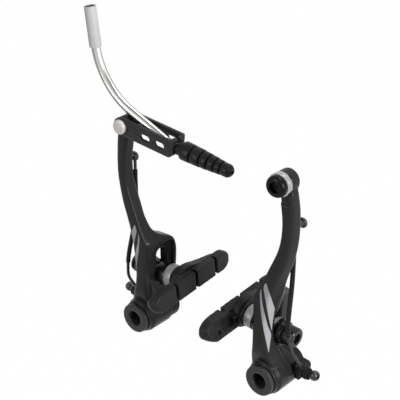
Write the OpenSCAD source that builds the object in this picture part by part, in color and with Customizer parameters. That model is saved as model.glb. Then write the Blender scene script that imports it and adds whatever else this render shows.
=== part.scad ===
// Direct-pull rim brake: two mirrored cast arms on sleeves, with pads, springs, link, guide tube and boot.
// X runs across the wheel, Y points back to the frame and Z up. The origin is midway between the two
// post axes, in the plane of the sleeves' front faces. Each arm is drawn once, as the right one.

/* [Placement] */
// Distance between the two post axes
post_gap = 80; // [70:0.5:90]
// Outward lean of each arm in degrees
arm_lean = 3.27; // [0:0.01:8]
// Downward slope of the link towards its free end in degrees
link_slope = 4; // [0:0.5:8]
// Rise of each pad towards its rear end in degrees
pad_rise = 4.5; // [0:0.5:9]

/* [Arm] */
// Distance from the post axis to the cable axis at the top
arm_reach = 105.8; // [102:0.1:110]
// Outer radius of the pivot boss
boss_r = 9.3; // [9:0.1:9.6]
// Radius of the knuckle at the top
knuckle_r = 5.4; // [5:0.1:5.8]
// Height of the pad axis above the post axis
pad_z = 24; // [23:0.1:26]
// How much lower the right pad is set than the left one
right_pad_drop = 1.7; // [0:0.1:2.2]
// Depth of the pad axis behind the sleeve's front face
pad_y = 14; // [13.5:0.1:14.5]
// Width of the pad slot
slot_w = 6.8; // [6.7:0.1:7.4]

/* [Pivot] */
// Radius of the bore for the frame's post
post_bore_r = 4.05; // [4.03:0.01:4.1]
// Outer radius of the sleeve
sleeve_r = 5.6; // [5.4:0.05:5.8]
// Radius of the sleeve's front flange
flange_r = 7.73; // [7.4:0.01:8]
// Length of the sleeve
sleeve_len = 26.4; // [26:0.1:27]
// Radial running clearance between sleeve and bush
run_gap = 0.05; // [0.03:0.01:0.08]

/* [Pad] */
// Length of the pad
pad_len = 57; // [54:1:60]
// Height of the pad
pad_h = 9.8; // [9.4:0.1:10.4]
// Distance from the arm's pad axis plane to the braking face
pad_face = 28.4; // [28:0.1:29]
// Distance from the same plane to the back of the pad
pad_back = 20; // [19.8:0.1:20.4]
// Radius of the threaded stud
stud_r = 3; // [2.9:0.05:3.05]
// Radius of the spherical seat between the thick inner washers
inner_seat_r = 10; // [9.8:0.05:10.2]
// Radius of the spherical seat between the outer washers
outer_seat_r = 7.4; // [7.2:0.05:7.6]

/* [Link and guide tube] */
// Distance from the pin axis to the outside of the end plate
link_len = 31.7; // [31:0.1:32.5]
// Height of the link
link_h = 8.8; // [8.4:0.1:9.2]
// Sheet thickness of the link
link_t = 1.5; // [1.3:0.1:1.6]
// Outer radius of the guide tube
tube_r = 2.2; // [2.1:0.05:2.3]
// Radius of the guide tube's large bend
tube_bend = 36; // [34:1:38]
// Length of the ferrule
ferrule_len = 17.6; // [16:0.2:20]
// Length of the rubber boot
boot_len = 32; // [30:0.5:34]

/* [Spring] */
// Radius of the bare spring wire
wire_r = 0.8; // [0.7:0.05:0.9]
// Outer radius of the tube over the wire
wire_tube_r = 1.15; // [1.1:0.05:1.2]

/* [Hidden] */
SIDES = ["left_", "right_"];
PAIRS = ["arm", "pivot_sleeve", "pivot_bush", "return_spring", "spring_tube", "spring_holder", "stop_pin",
         "tension_screw", "spring_peg", "brake_pad", "pad_stud", "inner_dome_washer", "inner_cup_washer",
         "outer_dome_washer", "outer_cup_washer", "nut_washer", "pad_nut"];

eps = 0.01;
far = 40;

// Arm: depths along Y
boss_front = 2.3;
boss_shoulder = 4.6;
boss_back = 19.5;
bush_r = 6.6;

// Pad seat: the plate that the washers clamp
plate_x = -5.5;
plate_half = 2.3;
pocket_front = 5;
pocket_back = 20.8;
pocket_top = 41;
pocket_low = 21.2;
recess_wall_x = 5;
peg_at = [5.8, 0, 84.4];
peg_r = 1.4;
peg_foot = 7.5;
slot_low = 20.6;
slot_high = 34;
washer_r = 6;
dome_r = 5.7;
stud_hole_r = 3.8;
seat_gap = 0.1;

// Stations of the front column and the upper arm. Each row holds the height, the inner x, the outer x
// at the front face, the outer x further back, the front y and the back y.
COLUMN = [
    [-4,   -7.2, 4.0, 8.0, 6.0, 12.8],
    [1,    -8.6, 6.4, 9.1, 5.4, 13.2],
    [5,    -8.6, 5.4, 8.4, 4.6, 13.2],
    [9,    -8.3, 4.0, 7.1, 3.4, 12.6],
    [12,   -7.8, 2.4, 5.8, 2.4, 11.6],
    [15,   -7.4, 1.0, 4.7, 1.8, 10.8],
    [20,   -7.4, -0.4, 3.1, 1.5, 10.4],
    [26,   -7.9, -1.1, 1.8, 1.5, 10.2],
    [33,   -8.3, -0.9, 1.6, 1.5, 10.2],
    [40,   -9.0, -0.5, 2.6, 1.5, 10.2],
    [44,   -9.4, -0.2, 3.6, 1.5, 10.0],
    [48,   -7.4, 0.4, 4.8, 1.5, 9.4],
    [52,   -5.6, 1.4, 5.4, 1.5, 9.0],
    [57,   -3.7, 3.0, 6.0, 1.5, 8.8],
    [62,   -2.0, 4.8, 6.9, 1.5, 9.0],
    [67,   -0.2, 5.9, 8.0, 1.5, 9.0],
    [73,   1.6, 7.0, 8.8, 1.5, 9.0],
    [80,   2.4, 7.8, 8.9, 1.5, 9.0],
    [87,   2.1, 7.6, 8.4, 1.5, 9.0],
    [93,   1.0, 7.2, 7.5, 1.5, 9.0],
    [98,   -0.4, 6.7, 6.8, 1.5, 8.4],
    [102,  -1.8, 5.8, 6.0, 1.6, 8.0],
    [105.4, -2.6, 4.4, 4.8, 2.0, 7.8]
];

// Stations of the rear web, which widens into the crest and the rear leg, in the same order.
WEB = [
    [0,    -6.8, -2.6, -2.2, 6.0, 17.0],
    [6,    -7.2, -3.4, -3.0, 6.0, 20.0],
    [11,   -7.6, -3.8, -3.4, 5.0, 21.8],
    [16,   -8.2, -3.6, -3.2, 5.0, 22.9],
    [24,   -9.3, -3.2, -2.9, 5.0, 23.6],
    [32,   -9.8, -3.0, -2.8, 5.0, 23.9],
    [36,   -10.0, -2.8, -2.6, 4.5, 23.6],
    [39,   -10.2, -2.4, -2.0, 3.5, 22.7],
    [41.5, -10.3, -1.8, -1.4, 3.0, 21.2],
    [43.4, -10.2, -1.2, -1.0, 3.0, 18.6],
    [44.8, -9.8, -0.8, -0.6, 3.0, 15.4],
    [46.6, -8.2, -0.2, 0.0, 3.0, 12.2],
    [50,   -6.4, 0.6, 0.7, 3.0, 9.6],
    [56,   -3.9, 2.0, 2.2, 3.0, 8.6],
    [62,   -1.6, 3.6, 3.8, 3.0, 8.2]
];

// Centre line of the return spring, from the holder up to the peg
SPRING = [
    [12.5, 15.8, 5.4], [12.6, 14.6, 8.5], [12.1, 11.6, 13.0], [11.0, 8.7, 18.0], [9.5, 7.2, 24.5],
    [8.3, 7.1, 31.5], [7.2, 8.2, 39.0], [6.2, 9.7, 46.5], [5.3, 10.8, 54.0], [4.7, 11.0, 62.0],
    [4.2, 10.7, 72.0], [3.6, 10.5, 81.0], [3.4, 10.4, 86.0]
];

function last(v) = v[len(v) - 1];

// Catmull-Rom value between the second and the third of four rows
function curve(p0, p1, p2, p3, t) =
    0.5 * (2 * p1 + (p2 - p0) * t + (2 * p0 - 5 * p1 + 4 * p2 - p3) * t * t
           + (3 * p1 - p0 - 3 * p2 + p3) * t * t * t);

// Rows of a table with extra rows drawn between them on a smooth curve
function refine(rows, n) = [
    for (i = [0 : len(rows) - 2], k = [0 : n - 1])
        curve(rows[max(i - 1, 0)], rows[i], rows[i + 1], rows[min(i + 2, len(rows) - 1)], k / n),
    last(rows)
];

function unit(v) = v / norm(v);

// Points of one rounded corner of a polygon, from the side before it to the side after it
function corner(a, b, c, r, n) =
    let (u = unit(a - b), w = unit(c - b), half = acos(u * w) / 2,
         reach = r / tan(half), centre = b + unit(u + w) * r / sin(half),
         p = b + u * reach - centre, q = b + w * reach - centre,
         from = atan2(p[1], p[0]), turn = atan2(q[1], q[0]) - from,
         sweep = turn > 180 ? turn - 360 : turn < -180 ? turn + 360 : turn)
    [for (k = [0 : n]) centre + r * [cos(from + sweep * k / n), sin(from + sweep * k / n)]];

// Ring of points round a four-sided section whose corners have their own radii
function rounded_quad(pts, radii, n) = [
    for (i = [0 : 3]) each corner(pts[(i + 3) % 4], pts[i], pts[(i + 1) % 4], radii[i], n)
];

// Section of the arm from one row of a station table, with its slanted and well rounded outer side
function arm_section(row, radii, n) =
    let (xi = row[1], xf = row[2], xo = row[3], yf = row[4], yb = row[5])
    [for (p = rounded_quad([[xi, yf], [xf, yf], [xo, yb], [xi, yb]], radii, n)) [p[0], p[1], row[0]]];

// Solid through a list of rings with the same number of points
module loft(rings) {
    m = len(rings[0]);
    k = len(rings);
    side = [
        for (i = [0 : k - 2], j = [0 : m - 1])
            each [[i * m + j, (i + 1) * m + j, (i + 1) * m + (j + 1) % m],
                  [i * m + j, (i + 1) * m + (j + 1) % m, i * m + (j + 1) % m]]
    ];
    ends = [[for (j = [0 : m - 1]) j], [for (j = [m - 1 : -1 : 0]) (k - 1) * m + j]];
    polyhedron(points = [for (r = rings) each r], faces = concat(ends, side), convexity = 6);
}

// Ring of points square to a path
function path_ring(path, i, r, m) =
    let (d = unit(path[min(i + 1, len(path) - 1)] - path[max(i - 1, 0)]),
         side = unit(cross(d, [0, 1, 0])), up = cross(side, d))
    [for (j = [0 : m - 1]) path[i] + r * (cos(360 * j / m) * side + sin(360 * j / m) * up)];

// Round rod along a path that runs upwards
module rod_along(path, r, m = 10) {
    loft([for (i = [0 : len(path) - 1]) path_ring(path, i, r, m)]);
}

// A radius that is the same all along a path, or one from a list with a radius for each point
function radius_at(r, i) = is_list(r) ? r[i] : r;

// Tube along a path, with an open bore
module tube_along(path, r_out, r_in, m = 12) {
    n = len(path);
    outer = [for (i = [0 : n - 1]) each path_ring(path, i, radius_at(r_out, i), m)];
    inner = [for (i = [0 : n - 1]) each path_ring(path, i, radius_at(r_in, i), m)];
    function quad(a, b, c, d) = [[a, b, c], [a, c, d]];
    walls = [
        for (i = [0 : n - 2], j = [0 : m - 1])
            let (a = i * m + j, b = i * m + (j + 1) % m, v = n * m)
            each concat(quad(a, a + m, b + m, b), quad(a + v, b + v, b + m + v, a + m + v))
    ];
    rims = [
        for (j = [0 : m - 1])
            let (a = j, b = (j + 1) % m, v = n * m, top = (n - 1) * m)
            each concat(quad(a, b, b + v, a + v), quad(a + top, a + top + v, b + top + v, b + top))
    ];
    polyhedron(points = concat(outer, inner), faces = concat(walls, rims), convexity = 6);
}

// Cylinder along Y from one depth to another
module y_cyl(r, from, to, fn = 96) {
    translate([0, to, 0]) rotate([90, 0, 0]) cylinder(r = r, h = to - from, $fn = fn);
}

// Revolved outline about the Y axis, given as radius and depth
module y_turned(outline, fn = 96) {
    rotate([-90, 0, 0]) rotate_extrude($fn = fn) polygon(outline);
}

// Revolved outline about the X axis, given as radius and x
module x_turned(outline, fn = 72) {
    rotate([90, 0, 90]) rotate_extrude($fn = fn) polygon(outline);
}

// Place of one side's parts: the right side, or its mirror image on the left
module on_side(side, lean = true) {
    if (side == "left_") {
        mirror([1, 0, 0]) translate([post_gap / 2, 0, 0]) rotate([0, lean ? arm_lean : 0, 0]) children();
    } else {
        translate([post_gap / 2, 0, 0]) rotate([0, lean ? arm_lean : 0, 0]) children();
    }
}

// Place of one side's pad parts: the right pad is set lower in its slot
module on_pad_side(side) {
    on_side(side) translate([0, 0, side == "left_" ? 0 : -right_pad_drop]) children();
}

// Slot outline with round ends in the YZ plane, run through along X
module x_slot(r, low, high, from, to, fn = 64) {
    translate([from, pad_y, 0]) rotate([90, 0, 90]) linear_extrude(to - from) {
        translate([0, low]) circle(r, $fn = fn);
        translate([0, high]) circle(r, $fn = fn);
        translate([-r, low]) square([2 * r, high - low]);
    }
}

// Rounded rectangle in the YZ plane, run through along X
module x_pocket(y0, y1, z0, z1, r, from, to) {
    translate([from, 0, 0]) rotate([90, 0, 90]) linear_extrude(to - from) {
        translate([y0 + r, z0]) square([y1 - y0 - 2 * r, z1 - z0]);
        translate([y0, z0 + r]) square([y1 - y0, z1 - z0 - 2 * r]);
        for (y = [y0 + r, y1 - r], z = [z0 + r, z1 - r]) translate([y, z]) circle(r, $fn = 48);
    }
}

module arm_casting(knuckle_front, knuckle_back, top_r) {
    difference() {
        union() {
            loft([for (row = refine(COLUMN, 2)) arm_section(row, [1.0, 2.3, 2.0, 2.2], 4)]);
            loft([for (row = refine(WEB, 2)) arm_section(row, [1.0, 0.8, 1.5, 1.3], 4)]);
            y_turned([[0, boss_shoulder], [boss_r - 0.8, boss_shoulder], [boss_r, boss_shoulder + 0.8],
                      [boss_r, boss_back - 0.6], [boss_r - 0.6, boss_back], [0, boss_back]]);
            y_turned([[0, boss_front], [7.9, boss_front], [8.4, boss_front + 0.5],
                      [8.4, boss_shoulder + 1], [0, boss_shoulder + 1]]);
            translate([0, 0, arm_reach]) y_cyl(top_r, knuckle_front, knuckle_back);
        }
        // Bore for the bush
        y_cyl(bush_r, -1, far);
        // Room for the spring holder behind the boss
        y_cyl(boss_r + 0.4, boss_back + eps, far);
        translate([0, boss_back, -far]) cube([far, far, far + 9]);
        // Recess round the washers on the inner side, with the slot through the plate
        x_pocket(pocket_front, pocket_back, pocket_low, pocket_top, 3.4, -far, plate_x - plate_half);
        translate([-far, (pocket_front + pocket_back) / 2, pocket_low]) rotate([0, 90, 0])
            cylinder(r = (pocket_back - pocket_front) / 2, h = far + plate_x - plate_half, $fn = 96);
        x_slot(slot_w / 2, slot_low, slot_high, -far, far);
        x_slot(slot_w / 2 + 0.5, slot_low, slot_high, plate_x + plate_half - 0.5, far);
        // Room for the washers and the nut on the outer side
        x_slot(washer_r + 0.5, slot_low, slot_high, plate_x + plate_half, far);
        translate([plate_x + plate_half, pad_y, slot_low - washer_r - 0.5]) cube([far, far, 26]);
        // Hole for the spring's peg
        translate(peg_at) y_cyl(peg_r, peg_foot, far);
        // Recess under the washer, open to the front and the inner side, and the flats of the knuckle
        translate([-far, -far, arm_reach - 9.4]) cube([far + recess_wall_x, far + knuckle_front, far]);
        translate([-far, -far, arm_reach - 1]) cube([2 * far, far + knuckle_front, far]);
        translate([0, 0, arm_reach]) y_cyl(6.1, -far, knuckle_front);
        translate([-far, knuckle_back, arm_reach - 5]) cube([2 * far, far, far]);
    }
}

module left_arm_solid() {
    // The knuckle is narrow enough to sit between the link's two plates
    difference() {
        arm_casting(0.3, 7.2, 4.5);
        translate([0, 0, arm_reach]) y_cyl(2.45, -far, far);
        // The top stays under the guide tube
        translate([-far, -far, arm_reach + 4.5]) cube([2 * far, 2 * far, far]);
        // Inner shoulder that the link's rounded ends swing over
        translate([0, 0, arm_reach]) y_cyl(5.6, -far, 0.3);
        translate([0, 0, arm_reach]) y_cyl(7.2, 7.2, far);
    }
}

module right_arm_solid() {
    difference() {
        arm_casting(2.6, 8.0, knuckle_r);
        translate([0, 0, arm_reach]) y_cyl(3.05, -far, far);
    }
}

module pivot_sleeve() {
    difference() {
        y_turned([[0, 0], [flange_r - 0.4, 0], [flange_r, 0.4], [flange_r, 1.6], [flange_r - 0.4, 2.0],
                  [sleeve_r, 2.0], [sleeve_r, sleeve_len], [0, sleeve_len]]);
        y_cyl(post_bore_r, -1, sleeve_len + 1);
    }
}

module pivot_bush() {
    difference() {
        y_cyl(bush_r, boss_front, boss_back);
        y_cyl(sleeve_r + run_gap, -1, far);
    }
}

// Angle and seat of the tension screw on the outer side of the holder
screw_tilt = 14;
screw_seat = [10.4, 17.6, 2.0];
lug_in = 10;
lug_front = 14;
lug_back = 23;
lug_z = 2.2;

module at_screw() {
    translate(screw_seat) rotate([0, -screw_tilt, 0]) children();
}

module spring_holder() {
    difference() {
        union() {
            y_turned([[0, boss_back + 0.3], [boss_r - 0.7, boss_back + 0.3], [boss_r - 0.7, 25.2],
                      [boss_r - 1.5, 26], [0, 26]]);
            // Lug beside the boss, rounded round the screw's seat
            translate([0, lug_back, lug_z]) rotate([90, 0, 0]) linear_extrude(lug_back - boss_back - 0.3) {
                translate([5, -4.4]) square([6.6, 8.8]);
                translate([11.6, -2.4]) square([2.0, 4.8]);
                for (z = [-2.4, 2.4]) translate([11.6, z]) circle(2.0, $fn = 40);
            }
            translate([lug_in, lug_front, lug_z - 2.2]) cube([3.2, lug_back - lug_front - 1, 7.2]);
            // Collar rings round the screw
            at_screw() x_turned([[0, 0], [2.6, 0], [2.6, 3.9], [3.0, 4.1], [3.0, 4.9], [2.6, 5.1],
                                 [2.6, 5.5], [2.9, 5.7], [2.9, 6.3], [2.4, 6.5], [0, 6.5]], 48);
        }
        y_cyl(sleeve_r, -1, far);
        at_screw() rotate([0, 90, 0]) translate([0, 0, -1]) cylinder(r = 2.05, h = far, $fn = 48);
        // Hole that holds the lower end of the spring
        rod_along([for (i = [0 : 4]) spring_path[i]], wire_r, 10);
        // Hole for the stop pin
        translate(stop_pin_at) y_cyl(1.1, 22, far);
    }
}

stop_pin_at = [0, 0, -7.5];

module stop_pin() {
    translate(stop_pin_at) y_turned([[0, 22], [1.1, 22], [1.1, 28.4], [0.7, 28.8], [0, 28.8]], 48);
}

module tension_screw() {
    at_screw() difference() {
        x_turned([[0, 0], [2.0, 0], [2.0, 8.2], [2.3, 8.2], [2.5, 8.6], [2.5, 9.8], [2.0, 10.9],
                  [1.0, 11.5], [0, 11.6]], 48);
        for (a = [0, 90]) rotate([a, 0, 0]) translate([10.4, -0.35, -1.6]) cube([2, 0.7, 3.2]);
    }
}

module spring_peg() {
    translate(peg_at) y_turned([[0, peg_foot], [peg_r, peg_foot], [peg_r, 11.4], [2.0, 11.6], [2.5, 12.2],
                                    [2.5, 12.8], [2.0, 13.6], [1.2, 13.9], [0, 14]], 48);
}

spring_path = refine(SPRING, 3);
tube_first = 13;

module return_spring() {
    rod_along(spring_path, wire_r, 10);
}

module spring_tube() {
    tube_along([for (i = [tube_first : len(spring_path) - 4]) spring_path[i]], wire_tube_r, wire_r + 0.05);
}

// Frame of the pad: the stud axis along X through the middle of the arm's plate
module at_pad() {
    translate([0, pad_y, pad_z]) rotate([pad_rise, 0, 0]) children();
}

// Pad outline seen from the wheel, with rounded ends
module pad_outline(length, height, r) {
    for (y = [-length / 2 + r, length / 2 - r], z = [-height / 2 + r, height / 2 - r])
        translate([y, z]) circle(r, $fn = 40);
    square([length - 2 * r, height], center = true);
    square([length, height - 2 * r], center = true);
}

module pad_slab(from, to, length, height, r) {
    translate([from, 0, 0]) rotate([90, 0, 90]) linear_extrude(to - from) pad_outline(length, height, r);
}

// Plan of the braking block: its ends curve away from the wheel
module pad_plan() {
    r = 5;
    translate([0, 0, -far / 2]) linear_extrude(far) {
        for (y = [-pad_len / 2 + r, pad_len / 2 - r]) translate([-pad_face + r, y]) circle(r, $fn = 64);
        translate([-pad_face + r, -pad_len / 2]) square([far, pad_len]);
        translate([-pad_face, -pad_len / 2 + r]) square([far, pad_len - 2 * r]);
    }
}

pad_shift = 1;
pad_lift = 0.3;
pad_corner = 4;
block_back = 25.2;
carrier_front = 24.8;
groove_at = [-12.3, 2.2, 17.2];
groove_w = 1.8;
groove_deep = 2.6;
hub_face = 18.4;

module brake_pad() {
    at_pad() difference() {
        union() {
            translate([0, pad_shift, pad_lift]) {
                intersection() {
                    pad_slab(-pad_face, -block_back, pad_len, pad_h, pad_corner);
                    pad_plan();
                }
                // Shadow line between block and carrier
                pad_slab(-block_back - eps, -carrier_front + eps, pad_len - 1.2, pad_h - 1.2, pad_corner - 0.6);
                // Carrier, deep along the bottom and thin along the top
                intersection() {
                    pad_slab(-carrier_front, -pad_back, pad_len - 0.4, pad_h, pad_corner);
                    rotate([90, 0, 0]) linear_extrude(pad_len + 2, center = true)
                        polygon([[-carrier_front, -pad_h], [-pad_back, -pad_h], [-pad_back, -pad_h / 2 + 3.4],
                                 [-23.7, pad_h / 2], [-carrier_front, pad_h / 2]]);
                }
            }
            // Hub round the stud with its collar
            x_turned([[0, -carrier_front], [7.9, -carrier_front], [7.9, -20.8], [7.3, -pad_back], [6.6, -pad_back],
                      [6.5, -hub_face - 0.2], [6.3, -hub_face], [0, -hub_face]]);
            // Gussets from the hub to the carrier
            for (s = [-1, 1]) linear_extrude(3, center = true)
                polygon([[-carrier_front, s * 3], [-carrier_front, s * 10.5], [-21, s * 10], [-19.4, s * 5.5],
                         [-19.4, s * 3]]);
        }
        // Cross grooves between the blocks, which also notch the top edge
        for (y = groove_at) translate([-pad_face - 1, y + pad_shift - groove_w / 2, pad_lift]) {
            translate([0, 0, -far / 2]) cube([1 + groove_deep, groove_w, far]);
            translate([0, 0, pad_h / 2 - 1.3]) cube([4.6, groove_w, far]);
        }
        // Two wear holes in the middle groove
        for (z = [-1.6, 1.6]) translate([-pad_face + groove_deep - 1, groove_at[1] + pad_shift, z + pad_lift])
            rotate([0, 90, 0]) cylinder(r = 0.8, h = 1.6, $fn = 24);
        // Recess in the back on each side of the hub, above the lower flange
        for (s = [-1, 1]) translate([0, pad_shift + s * 14.2, pad_lift + 0.4])
            pad_slab(-carrier_front + 1.2, 0, 8, 5.6, 1.2);
        // Dimple near the front end
        translate([-pad_back - 3, pad_shift - pad_len / 2 + 7.4, pad_lift - 1]) rotate([0, 90, 0])
            cylinder(r = 1.2, h = 8, $fn = 32);
        pad_stud_solid();
    }
}

module pad_stud_solid() {
    x_turned([[0, -24.2], [4.6, -24.2], [4.6, -22.6], [stud_r, -22.2], [stud_r, 5.5], [stud_r - 0.5, 6],
              [0, 6]], 48);
}

module pad_stud() {
    at_pad() pad_stud_solid();
}

// Domed washer: flat on the plate, with its dome centred in the middle of the plate. s is 1 outside.
module dome_washer(s) {
    seat = s > 0 ? outer_seat_r : inner_seat_r;
    translate([plate_x, pad_y, pad_z]) mirror([s > 0 ? 1 : 0, 0, 0]) difference() {
        intersection() {
            sphere(seat, $fn = 96);
            rotate([0, 90, 0]) translate([0, 0, -seat]) cylinder(r = dome_r, h = seat - plate_half, $fn = 72);
        }
        rotate([0, 90, 0]) cylinder(r = stud_hole_r, h = far, center = true, $fn = 72);
    }
}

// Cupped washer over a dome, between its rim and its flat back
module cup_washer(s, back) {
    bowl = (s > 0 ? outer_seat_r : inner_seat_r) + seat_gap;
    rim = sqrt(bowl * bowl - washer_r * washer_r) + 0.05;
    translate([plate_x, pad_y, pad_z]) difference() {
        rotate([0, s * 90, 0]) translate([0, 0, rim]) {
            cylinder(r = washer_r, h = back - rim - 0.5, $fn = 72);
            cylinder(r = washer_r - 0.5, h = back - rim, $fn = 72);
        }
        sphere(bowl, $fn = 96);
        rotate([0, 90, 0]) cylinder(r = stud_r + 0.08, h = far, center = true, $fn = 72);
    }
}

inner_cup_back = hub_face + plate_x - 0.05;
outer_cup_back = 7.6;

module nut_washer() {
    translate([plate_x, pad_y, pad_z]) rotate([0, 90, 0]) difference() {
        translate([0, 0, outer_cup_back + 0.05]) cylinder(r = 5.6, h = 1, $fn = 64);
        cylinder(r = stud_r + 0.15, h = far, $fn = 64);
    }
}

nut_end = 9.5;

module pad_nut() {
    base = plate_x + outer_cup_back + 1.1;
    at_pad() difference() {
        intersection() {
            translate([base, 0, 0]) rotate([0, 90, 0]) rotate([0, 0, 30])
                cylinder(r = 5.4, h = nut_end - base, $fn = 6);
            x_turned([[0, base], [5, base], [5, nut_end - 0.6], [4.5, nut_end], [0, nut_end]], 64);
        }
        translate([base - 1, 0, 0]) rotate([0, 90, 0]) cylinder(r = stud_r, h = 5, $fn = 64);
        translate([base + 3, 0, 0]) rotate([0, 90, 0]) rotate([0, 0, 30]) cylinder(r = 2.9, h = far, $fn = 6);
    }
}

// Link frame: pin axis at the origin, X towards the free end
module at_link() {
    translate([-post_gap / 2 - arm_reach * sin(arm_lean), 0, arm_reach * cos(arm_lean)])
        rotate([0, link_slope, 0]) children();
}

link_front = -1.5;
link_back = 9;
link_mid = (link_front + link_back) / 2;
hole_x = [15.4, 24.4];
nose_drop = -0.6;

module link_plan(inset) {
    r = 1.6 - inset;
    translate([-6, link_front + inset]) square([link_len + 6 - inset - r, link_back - link_front - 2 * inset]);
    translate([-6, link_front + inset + r])
        square([link_len + 6 - inset, link_back - link_front - 2 * inset - 2 * r]);
    for (y = [link_front + inset + r, link_back - inset - r])
        translate([link_len - inset - r, y]) circle(r, $fn = 40);
}

module cable_link() {
    at_link() difference() {
        intersection() {
            translate([0, 0, -link_h / 2]) linear_extrude(link_h) difference() {
                link_plan(0);
                link_plan(link_t);
                translate([-7, link_front + link_t]) square([8, link_back - link_front - 2 * link_t]);
            }
            translate([0, far / 2, 0]) rotate([90, 0, 0]) linear_extrude(far) {
                circle(link_h / 2, $fn = 72);
                translate([0, -link_h / 2]) square([link_len - 1.6, link_h]);
                translate([0, -link_h / 2 + 1.6]) square([link_len, link_h - 3.2]);
                translate([link_len - 1.6, link_h / 2 - 1.6]) circle(1.6, $fn = 40);
                translate([link_len - 1.6, -link_h / 2 + 1.6]) circle(1.6, $fn = 40);
            }
        }
        y_cyl(2.4, -far, far, 64);
        // Two oblong windows through both plates
        for (x = hole_x) translate([x, far / 2, -0.3]) rotate([90, 0, 0]) linear_extrude(far) {
            square([2.8, 3], center = true);
            for (s = [-1, 1]) translate([s * 1.5, 0]) circle(1.5, $fn = 40);
        }
        // Keyhole in the end plate, open at the top
        translate([link_len - 5, link_mid, nose_drop]) rotate([0, 90, 0]) cylinder(r = 2.0, h = 10, $fn = 48);
        translate([link_len - 5, link_mid - 1.2, nose_drop]) cube([10, 2.4, far]);
    }
}

module link_pin() {
    at_link() y_turned([[0, -3.4], [3.0, -3.4], [3.6, -2.9], [3.6, link_front], [2.4, link_front],
                        [2.4, link_back], [3.2, link_back], [3.2, 9.8], [2.7, 10.2], [0, 10.2]], 64);
}

// Guide tube: straight nose, gentle bend, straight run, large bend and straight tail, drawn in its own
// plane with the nose at the origin and the path running along -X
nose_len = 2;
small_bend = 12;
small_turn = 16.5;
run_len = 24;
big_turn = 60.5;
tail_len = 0.4;

function along(from, heading, h) = from + h * [-cos(heading), 0, sin(heading)];

// Points of a bend that turns upwards, after its first one
function bend_points(from, heading, radius, turn, n) = [
    for (k = [1 : n])
        let (a = heading + turn * k / n)
        from + radius * [sin(heading) - sin(a), 0, cos(heading) - cos(a)]
];

bend_start = along([0, 0, 0], 0, nose_len);
bend_1 = bend_points(bend_start, 0, small_bend, small_turn, 3);
run_end = along(last(bend_1), small_turn, run_len);
bend_2 = bend_points(run_end, small_turn, tube_bend, big_turn, 16);
tail_heading = small_turn + big_turn;
tail_end = along(last(bend_2), tail_heading, tail_len);
tube_points = concat([[0, 0, 0], bend_start], bend_1, [run_end], bend_2, [tail_end]);

nose_tip = 3.4;
nose_r = 1.9;
nose_bore_r = 0.9;
tube_bore_r = 1.6;
nose_plug = 1.5;
// Nose from its tapered tip to the shoulder behind the link's end plate: x, outer and inner radius
NOSE = [
    [link_t + 0.2 + nose_tip, nose_r - 0.4, nose_bore_r], [link_t + 0.2, nose_r, nose_bore_r],
    [-0.1, nose_r, nose_bore_r], [-0.2, tube_r, nose_bore_r], [-nose_plug, tube_r, nose_bore_r],
    [-nose_plug - 0.1, tube_r, tube_bore_r]
];
run_points = [for (i = [1 : len(tube_points) - 1]) tube_points[i]];

module at_nose() {
    at_link() translate([link_len - link_t, link_mid, nose_drop]) children();
}

module guide_tube() {
    path = concat([for (row = NOSE) [row[0], 0, 0]], run_points);
    outs = concat([for (row = NOSE) row[1]], [for (p = run_points) tube_r]);
    bores = concat([for (row = NOSE) row[2]], [for (p = run_points) tube_bore_r]);
    at_nose() tube_along(path, outs, bores, 20);
}

module tube_liner() {
    at_nose() tube_along(concat([[-nose_plug - 0.15, 0, 0]], run_points), tube_bore_r - 0.05, 1.0, 12);
}

module tube_ferrule() {
    at_nose() translate(tail_end) rotate([0, tail_heading - 90, 0]) rotate_extrude($fn = 64)
        polygon([[tube_r, -2], [2.7, -2], [2.9, -1.6], [2.9, ferrule_len - 0.4], [2.6, ferrule_len],
                 [2.5, ferrule_len], [2.5, 3], [tube_r - 0.25, 3], [tube_r - 0.25, 0], [tube_r, 0]]);
}

// Rubber boot: neck, then five steps of falling diameter with a groove between each two
boot_steps = [[3.4, 8.9, 4.6], [9.5, 14.4, 4.4], [15.0, 18.7, 4.1], [19.3, 22.6, 3.8], [23.2, 26.0, 3.5]];

module cable_boot() {
    neck = [[1.95, 0], [3.0, 0], [3.4, 0.4], [3.3, 3.0]];
    steps = [for (s = boot_steps) each [[s[2] - 0.9, s[0]], [s[2], s[0] + 0.5], [s[2] - 0.2, s[1] - 0.3],
                                        [s[2] - 1.1, s[1]]]];
    tip = [[2.6, 26.4], [3.2, 26.8], [3.1, 29.4], [2.2, 31.4], [1.2, boot_len], [0.9, boot_len],
           [0.9, nose_tip + 1], [1.95, nose_tip + 1]];
    at_nose() translate([link_t + 0.25, 0, 0]) rotate([0, 90, 0]) rotate_extrude($fn = 72)
        polygon([for (p = concat(neck, steps, tip)) [p[0], p[1]]]);
}

module at_anchor() {
    translate([post_gap / 2, 0, 0]) rotate([0, arm_lean, 0]) translate([0, 0, arm_reach]) children();
}

module cable_anchor_bolt() {
    at_anchor() difference() {
        y_turned([[0, -3.9], [3.7, -3.9], [4.4, -3.6], [5.0, -2.7], [5.1, -1.8], [5.1, -0.6], [3, -0.6],
                  [3, 8.8], [2.6, 9.3], [0, 9.3]]);
        translate([0, -1.2, 0]) rotate([90, 0, 0]) rotate([0, 0, 30]) cylinder(r = 2.9, h = far, $fn = 6);
    }
}

module cable_clamp_washer() {
    at_anchor() difference() {
        y_turned([[3.2, -0.55], [5.1, -0.55], [5.6, -0.1], [5.6, 2.1], [5.2, 2.5], [3.2, 2.5]]);
        // Groove that the cable is clamped in, above the bolt
        translate([-far / 2, 1.9, 3.5]) cube([far, 2, 1.2]);
    }
}

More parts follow.
